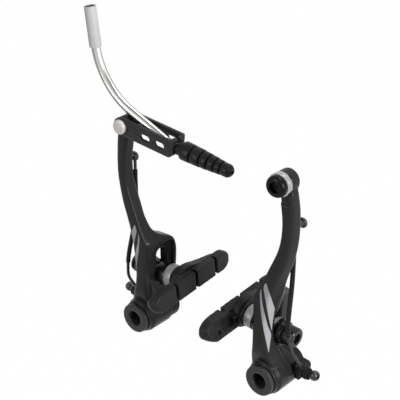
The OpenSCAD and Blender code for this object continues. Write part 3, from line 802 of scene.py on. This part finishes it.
@dataclass
class Studio:
    """Camera, floor, world and lamps."""

    place: tuple[float, float, float] = (304.61, -360.90, 329.49)
    azimuth: float = 39.96
    elevation: float = 27.63
    roll: float = 1.0
    focal_px: float = 1165.66
    frame_px: float = 400.0
    floor_z: float = -420.0
    paper: float = 0.86
    glow: float = 0.996
    fill: float = 0.1
    sensor: float = 36.0
    reach: tuple[float, float] = (0.01, 20.0)
    floor_half: float = 6.0
    target: tuple[float, float, float] = (0.0, 0.01, 0.06)
    lamps: tuple[Lamp, ...] = (
        Lamp("top_box", (0.1, 0.3, 0.9), (0.4, 0.3), 3.0),
        Lamp("key_box", (-0.35, -0.9, 0.3), (0.2, 0.5), 3.2),
        Lamp("right_box", (0.92, -0.12, 0.38), (0.2, 0.55), 11.0))

    def camera(self) -> None:
        """Places the camera as the photo's."""
        a, e, r = (math.radians(v) for v in (self.azimuth, self.elevation, self.roll))
        back = Vector((math.sin(a) * math.cos(e), -math.cos(a) * math.cos(e), math.sin(e)))
        right = Vector((math.cos(a), math.sin(a), 0))
        up = back.cross(right)
        side = right * math.cos(r) + up * math.sin(r)
        top = up * math.cos(r) - right * math.sin(r)
        lens = bpy.data.cameras.new("camera")
        lens.sensor_fit = "HORIZONTAL"
        lens.sensor_width = self.sensor
        lens.lens = self.focal_px / self.frame_px * lens.sensor_width
        lens.clip_start, lens.clip_end = self.reach
        camera = bpy.data.objects.new("camera", lens)
        bpy.context.scene.collection.objects.link(camera)
        turn = Matrix((side, top, back)).transposed().to_4x4()
        camera.matrix_world = Matrix.Translation(Vector(self.place) * MM) @ turn
        bpy.context.scene.camera = camera

    def floor(self) -> None:
        """Lays the pale floor, which looks white to the camera and still takes a shadow."""
        work = bmesh.new()
        bmesh.ops.create_grid(work, x_segments=1, y_segments=1, size=self.floor_half)
        bmesh.ops.translate(work, verts=work.verts, vec=(0, 0, self.floor_z * MM))
        mesh = bpy.data.meshes.new("floor")
        work.to_mesh(mesh)
        work.free()
        floor = bpy.data.objects.new("floor", mesh)
        bpy.context.scene.collection.objects.link(floor)
        paper = bpy.data.materials.new("floor_paper")
        paper.use_nodes = True
        tree = paper.node_tree
        shader = tree.nodes["Principled BSDF"]
        shader.inputs["Base Color"].default_value = (self.paper, self.paper, self.paper, 1)
        shader.inputs["Roughness"].default_value = 0.9
        light = tree.nodes.new("ShaderNodeEmission")
        light.inputs["Strength"].default_value = 1.0
        mix = tree.nodes.new("ShaderNodeMixShader")
        share = math_node(tree, "MULTIPLY", self.seen(tree), self.glow)
        tree.links.new(share, mix.inputs[0])
        tree.links.new(shader.outputs[0], mix.inputs[1])
        tree.links.new(light.outputs[0], mix.inputs[2])
        tree.links.new(mix.outputs[0], tree.nodes["Material Output"].inputs["Surface"])
        mesh.materials.append(paper)

    def seen(self, tree: bpy.types.NodeTree) -> bpy.types.NodeSocket:
        """Marks the rays that see the background directly, in a mirror or through glass.

        Args:
            tree: node tree to add the test to.

        Returns:
            The socket that is 1 for such rays.
        """
        rays = tree.nodes.new("ShaderNodeLightPath")
        either = math_node(tree, "MAXIMUM", rays.outputs["Is Camera Ray"], rays.outputs["Is Glossy Ray"])
        return math_node(tree, "MAXIMUM", either, rays.outputs["Is Transmission Ray"])

    def world(self) -> None:
        """Fills the room with even soft light, white where it is seen."""
        world = bpy.data.worlds.new("room")
        world.use_nodes = True
        bpy.context.scene.world = world
        tree = world.node_tree
        seen = self.seen(tree)
        strength = math_node(tree, "MULTIPLY_ADD", seen, 1.0 - self.fill, self.fill)
        back = tree.nodes["Background"]
        back.inputs["Color"].default_value = (1, 1, 1, 1)
        tree.links.new(strength, back.inputs["Strength"])

    def build(self) -> None:
        """Sets up camera, floor, world and lamps."""
        self.camera()
        self.floor()
        self.world()
        for lamp in self.lamps:
            lamp.hang(self.target)
        bpy.context.scene.view_settings.view_transform = "Standard"


# Sub-assemblies

@dataclass
class Pivot:
    """Sleeve, bush, spring holder and its small parts on one side."""

    side: Side
    bore: float = 4.05
    flange: float = 7.73
    flange_thick: float = 2.0
    tube: float = 5.6
    length: float = 26.4
    bush: float = 6.6
    bush_from: float = 2.3
    bush_to: float = 19.5
    clear: float = 0.05

    def place(self) -> Matrix:
        """Matrix from millimetres with the post axis along Z, back upwards, to metres."""
        return (Matrix.Translation((HALF_GAP * MM * self.side.value, 0, 0)) @ Matrix.Rotation(-math.pi / 2, 4, "X")
                @ Matrix.Scale(MM, 4))

    def build(self) -> None:
        """Builds the parts round the pivot."""
        word = self.side.word
        thick, inside = self.flange_thick, self.tube + self.clear
        sleeve = [(self.bore, 0.0), (self.flange, 0.0), (self.flange, thick), (self.tube, thick),
                  (self.tube, self.length), (self.bore, self.length)]
        show(turned(sleeve, 0.35, 128), f"{word}_pivot_sleeve_form", self.place(), SLEEVE_STEEL, "mount",
             [f"{word}_pivot_sleeve"])
        bush = [(inside, self.bush_from), (self.bush, self.bush_from), (self.bush, self.bush_to),
                (inside, self.bush_to)]
        show(turned(bush, 0.1, 128), f"{word}_pivot_bush_form", self.place(), BRONZE, f"{word}_arm",
             [f"{word}_pivot_bush"])
        cast(f"{word}_spring_holder", HOLDER_PLASTIC, "mount", 0.3, 3)
        crisp(f"{word}_stop_pin", PLAIN_STEEL, "mount", 0.1)
        crisp(f"{word}_tension_screw", SCREW_STEEL, f"{word}_screw", 0.12)


@dataclass
class Arm:
    """One cast arm with its spring peg."""

    side: Side
    voxel: float = 0.36
    rounds: int = 14

    def build(self) -> None:
        """Builds the casting and the peg."""
        word = self.side.word
        cast(f"{word}_arm", PAINT[self.side], f"{word}_arm", self.voxel, self.rounds)
        crisp(f"{word}_spring_peg", SCREW_STEEL, f"{word}_arm", 0.12)


@dataclass
class ReturnSpring:
    """Spring wire and its cover, which bend between the holder and the arm."""

    side: Side
    wire: float = 0.8
    cover: float = 1.15
    edge: float = 0.12
    cover_from: int = 13
    cover_to: int = -4
    bends_to: int = 4
    path: tuple[tuple[float, float, float], ...] = (
        (12.5, 15.8, 5.4), (12.6, 14.6, 8.5), (12.1, 11.6, 13.0), (11.0, 8.7, 18.0), (9.5, 7.2, 24.5),
        (8.3, 7.1, 31.5), (7.2, 8.2, 39.0), (6.2, 9.7, 46.5), (5.3, 10.8, 54.0), (4.7, 11.0, 62.0),
        (4.2, 10.7, 72.0), (3.6, 10.5, 81.0), (3.4, 10.4, 86.0))

    def build(self) -> None:
        """Builds wire and cover."""
        word = self.side.word
        line = smooth_path(self.path, 3)
        dense = smooth_path([tuple(p) for p in line], 2)
        covered = smooth_path([tuple(p) for p in line[self.cover_from:self.cover_to]], 2)
        for suffix, points, radius, finish, slot in (
                ("return_spring", dense, self.wire, WIRE_STEEL, "spring_steel"),
                ("spring_tube", covered, self.cover, COVER_PLASTIC, "wire_cover")):
            work = swept(points, [radius] * len(points), 20)
            soften(work, self.edge)
            piece = show(work, f"{word}_{suffix}_form", self.side.place(), finish, "",
                         [f"{word}_{suffix}"])
            start = self.side.place() @ Vector(self.path[0])
            end = self.side.place() @ Vector(self.path[self.bends_to])
            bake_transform(piece)


@dataclass
class Pad:
    """Pad, stud, washers and nut on one side."""

    side: Side
    stud_z: float = 24.0
    right_drop: float = 1.7
    rise: float = 4.5
    face: float = 28.4
    block_back: float = 25.2
    back: float = 20.0
    middle: float = 1.0
    half: float = 28.5
    made_round: float = 5.0
    face_round: float = 2.4
    back_round: float = 2.6
    bend_from: float = 19.0
    web_sunk: float = 0.4
    voxel: float = 0.3
    rounds: int = 3
    arm_plate: float = -7.8
    flat_depth: float = 0.5
    clear: float = 0.12
    dome_edge: float = 0.25
    dome_angle: float = 35.0
    lift: float = 0.3
    half_height: float = 4.9
    made_corner: float = 4.0
    front_top: tuple[float, float] = (7.0, 4.2)
    rear_top: tuple[float, float] = (6.0, 4.3)
    bottom: tuple[float, float] = (5.0, 4.1)
    web: tuple[tuple[float, float], ...] = (
        (1.0, 0.5), (1.0, 7.9), (4.0, 7.5), (9.2, 5.9), (14.0, 4.7), (20.0, 3.6), (26.6, 2.4), (27.6, 0.5))

    def place(self) -> Matrix:
        """Matrix from the pad's own millimetres, with the stud along X, to metres."""
        height = self.stud_z - (self.right_drop if self.side is Side.RIGHT else 0.0)
        return (self.side.place() @ Matrix.Translation((0, 14.0, height))
                @ Matrix.Rotation(math.radians(self.rise), 4, "X"))

    def add_web(self, work: bmesh.types.BMesh) -> None:
        """Adds the web that falls from the hub to the rear end, along the pad's top.

        Args:
            work: mesh to add it to, in the pad's own millimetres.
        """
        start = -self.block_back + self.web_sunk
        corners = [work.verts.new((start, y, z)) for y, z in self.web]
        face = work.faces.new(corners)
        made = bmesh.ops.extrude_face_region(work, geom=[face])["geom"]
        moved = [g for g in made if isinstance(g, bmesh.types.BMVert)]
        bmesh.ops.translate(work, verts=moved, vec=(-self.back - self.web_sunk - start, 0, 0))
        fresh = corners + moved
        bmesh.ops.recalc_face_normals(work, faces=list({f for v in fresh for f in v.link_faces}))

    def reach(self, x: float, rounding: float) -> float:
        """Half length of the braking block at a depth.

        Args:
            x: place across the pad, from the stud's axis.
            rounding: radius of the block's end, seen from above.

        Returns:
            The half length.
        """
        deep = x + self.face
        if deep >= rounding:
            return self.half
        return self.half - rounding + math.sqrt(max(rounding ** 2 - (rounding - max(deep, 0.0)) ** 2, 0.0))

    def height_at(self, out: float, end: float, corner: tuple[float, float]) -> float:
        """Half height at a distance from the middle, where the end's corner is a quarter of an ellipse.

        Args:
            out: distance from the pad's middle.
            end: distance of the pad's end.
            corner: the ellipse's two radii, along the pad and upwards.

        Returns:
            The half height, never quite nothing.
        """
        along, up = corner
        into = (out - (end - along)) / along
        if into <= 0:
            return self.half_height
        return self.half_height - up + up * math.sqrt(max(1.0 - min(into, 1.0) ** 2, 0.0))

    def shape_ends(self, mesh: bpy.types.Mesh) -> None:
        """Rounds the pad's ends all over: fuller along the braking face, drawn in towards the back.

        Args:
            mesh: the pad's mesh, in metres.
        """
        there = self.place()
        back_again = there.inverted()
        for vertex in mesh.vertices:
            spot = back_again @ vertex.co
            out = abs(spot.y - self.middle)
            if out <= self.bend_from:
                continue
            old = self.reach(spot.x, self.made_round)
            new = self.reach(spot.x, self.face_round)
            deep = (spot.x + self.block_back) / (self.block_back - self.back)
            if deep > 0:
                new -= self.back_round * min(deep, 1.0) ** 2
            share = (new - self.bend_from) / (old - self.bend_from)
            moved = self.bend_from + (out - self.bend_from) * share
            above = spot.z - self.lift
            corner = self.bottom if above < 0 else self.front_top if spot.y < 0 else self.rear_top
            before = self.height_at(out, self.half, (self.made_corner, self.made_corner))
            spot.z = self.lift + above * self.height_at(moved, new, corner) / before
            spot.y = self.middle + math.copysign(moved, spot.y - self.middle)
            vertex.co = there @ spot

    def inner_dome(self, word: str) -> None:
        """Builds the inner domed washer, with its flat side a hair off the arm's painted plate.

        Args:
            word: name of the side.
        """
        node = f"{word}_inner_dome_washer"
        work = node_copy(node)
        soften(work, self.dome_edge * MM, self.dome_angle)
        there = self.side.place()
        back_again = there.inverted()
        for vertex in work.verts:
            spot = back_again @ vertex.co
            if spot.x > self.arm_plate - self.flat_depth:
                spot.x -= self.clear
                vertex.co = there @ spot
        show(work, f"{node}_form", Matrix.Identity(4), BLACK_PLATE, f"{word}_domes", [node])

    def build(self) -> None:
        """Builds the pad and what holds it."""
        word = self.side.word
        work = bmesh.new()
        self.add_web(work)
        bmesh.ops.transform(work, matrix=self.place(), verts=work.verts)
        bmesh.ops.recalc_face_normals(work, faces=work.faces)
        work.from_mesh(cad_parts[f"{word}_brake_pad"].data)
        bmesh.ops.remove_doubles(work, verts=work.verts, dist=WELD)
        node = f"{word}_brake_pad"
        mesh = flowing(work, f"{node}_form", self.voxel, self.rounds)
        self.shape_ends(mesh)
        declare(mesh, f"{node}_form", RUBBER, f"{word}_pad", [node], ALL_SMOOTH)
        crisp(f"{word}_pad_stud", PLAIN_STEEL, f"{word}_pad", 0.1)
        crisp(f"{word}_pad_nut", BLACK_PLATE, f"{word}_pad", 0.3)
        crisp(f"{word}_nut_washer", BLACK_PLATE, f"{word}_pad", 0.15)
        self.inner_dome(word)
        crisp(f"{word}_outer_cup_washer", BLACK_PLATE, f"{word}_cups", 0.25)
        for name, body in (("outer_dome_washer", "domes"), ("inner_cup_washer", "cups")):
            crisp(f"{word}_{name}", ZINC, f"{word}_{body}", 0.25)


@dataclass
class Link:
    """Cable link, its pin, the guide tube with liner and ferrule, and the boot."""

    plate: float = 1.5
    length: float = 31.7
    middle: float = TUBE_MIDDLE
    drop: float = -0.6
    tube: float = TUBE_R
    liner: float = 1.55
    nose: float = 1.9
    shoulder: float = 0.2
    taper: float = 0.4
    tip: float = 3.4
    boot_from: float = 0.25
    # Each stretch of the guide tube: length, bend radius, bend angle in degrees and number of rings
    stretches: tuple[tuple[float, float, float, int], ...] = (
        (0.4, 0, 0, 1), (0, 12.0, 16.5, 6), (24.0, 0, 0, 6), (0, 36.0, 60.5, 36), (0.4, 0, 0, 1))
    # Radius and height of each corner of what is turned
    pin: tuple[tuple[float, float], ...] = (
        (0.0, -3.4), (3.0, -3.4), (3.6, -2.9), (3.6, -1.5), (2.4, -1.5), (2.4, 9.0), (3.2, 9.0), (3.2, 9.8),
        (2.7, 10.2), (0.0, 10.2))
    ferrule: tuple[tuple[float, float], ...] = (
        (TUBE_R, -2.0), (2.85, -2.0), (2.95, -1.2), (2.9, 17.6), (2.5, 17.6), (2.5, 3.0), (TUBE_R, 3.0))
    # Dark sleeve with a floor inside the ferrule's mouth: painted shade, a dark piece put where the deep mouth is in
    # shade
    mouth_shade: tuple[tuple[float, float], ...] = (
        (0.0, 3.05), (2.48, 3.05), (2.48, 17.2), (2.25, 17.2), (2.25, 3.3), (0.0, 3.3))
    boot_collar: tuple[tuple[float, float], ...] = ((1.95, 0.0), (3.0, 0.0), (3.4, 0.5), (3.25, 3.0))
    boot_tip: tuple[tuple[float, float], ...] = (
        (2.3, 26.5), (3.2, 26.8), (3.15, 29.9), (2.3, 31.2), (1.35, 31.4), (1.2, 32.0), (0.9, 32.0), (0.9, 4.4),
        (1.95, 4.4))
    # Start, end and radius of each of the boot's ribs, and the depth of the grooves between them
    ribs: tuple[tuple[float, float, float], ...] = (
        (3.4, 8.9, 4.6), (9.5, 14.4, 4.4), (15.0, 18.7, 4.1), (19.3, 22.6, 3.8), (23.2, 26.0, 3.5))
    groove: float = 1.3
    route: list[Vector] = field(default_factory=list)

    def nose_place(self) -> Matrix:
        """Matrix from millimetres round the guide tube's nose to metres."""
        return link_place() @ Matrix.Translation((self.length - self.plate, self.middle, self.drop))

    def draw_route(self) -> None:
        """Draws the guide tube's centre line: straight, bend, straight, large bend, straight."""
        heading = 0.0
        self.route = [Vector((-self.plate - 0.1, 0, 0))]
        for length, radius, turn, count in self.stretches:
            start, base = heading, self.route[-1]
            for k in range(1, count + 1):
                if radius:
                    angle = start + math.radians(turn) * k / count
                    step = Vector((math.sin(start) - math.sin(angle), 0, math.cos(start) - math.cos(angle)))
                    self.route.append(base + radius * step)
                    heading = angle
                else:
                    self.route.append(base + Vector((-math.cos(start), 0, math.sin(start))) * length * k / count)

    def guide(self) -> None:
        """Builds the guide tube, its liner and its ferrule, with a dark sleeve and floor inside the ferrule's mouth
        as painted shade.
        """
        self.draw_route()
        front = self.plate + self.shoulder
        nose = [Vector((x, 0, 0)) for x in (front + self.tip, front, -0.1, -0.2)]
        radii = [self.nose - self.taper, self.nose, self.nose] + [self.tube] * (len(self.route) + 1)
        work = swept(nose + self.route, radii, 40)
        show(work, "guide_tube_form", self.nose_place(), TUBE_CHROME, "guide", ["guide_tube"])
        inner = swept(self.route, [self.liner] * len(self.route), 24)
        show(inner, "tube_liner_form", self.nose_place(), COVER_PLASTIC, "guide", ["tube_liner"])
        ahead = (self.route[-1] - self.route[-2]).normalized()
        turn = ahead.to_track_quat("Z", "Y").to_matrix().to_4x4()
        mouth = self.nose_place() @ Matrix.Translation(self.route[-1]) @ turn
        show(turned(self.ferrule, 0.25, 72), "tube_ferrule_form", mouth, FERRULE_SILVER, "guide",
             ["tube_ferrule"])
        # Painted shade: a dark plastic sleeve and floor fill the ferrule's mouth
        show(turned(self.mouth_shade, 0.0, 48, closed=False), "ferrule_mouth_shade", mouth, COVER_PLASTIC, "guide")

    def boot(self) -> None:
        """Builds the ribbed boot over the nose."""
        profile = list(self.boot_collar)
        for start, end, radius in self.ribs:
            profile += [(radius - self.groove, start), (radius, start + 0.35), (radius - 0.15, end - 0.25),
                        (radius - self.groove, end)]
        profile += self.boot_tip
        start = Matrix.Translation((self.plate + self.boot_from, 0, 0)) @ Matrix.Rotation(math.pi / 2, 4, "Y")
        show(turned(profile, 0.18, 96), "cable_boot_form", self.nose_place() @ start, BOOT_RUBBER, "boot",
             ["cable_boot"])

    def build(self) -> None:
        """Builds the link and what it carries."""
        crisp("cable_link", LINK_PAINT, "link", 0.25)
        place = link_place() @ Matrix.Rotation(-math.pi / 2, 4, "X")
        show(turned(self.pin, 0.25, 72, closed=False), "link_pin_form", place, PIN_SILVER, "link",
             ["link_pin"])
        self.guide()
        self.boot()


@dataclass
class Anchor:
    """Clamp bolt and washer on the right arm's top."""

    def build(self) -> None:
        """Builds both parts."""
        crisp("cable_anchor_bolt", BOLT_BLACK_SHADED, "anchor_bolt", 0.25, 24.0)
        crisp("cable_clamp_washer", CLAMP_CHROME, "clamp_washer", 0.2)


def main() -> None:
    """Builds everything in order."""
    logging.basicConfig(level=logging.INFO, format="%(message)s")
    Studio().build()
    for side in Side:
        for part in (Pivot(side), Arm(side), ReturnSpring(side), Pad(side)):
            part.build()
    Link().build()
    Anchor().build()


if __name__ == "__main__":
    main()
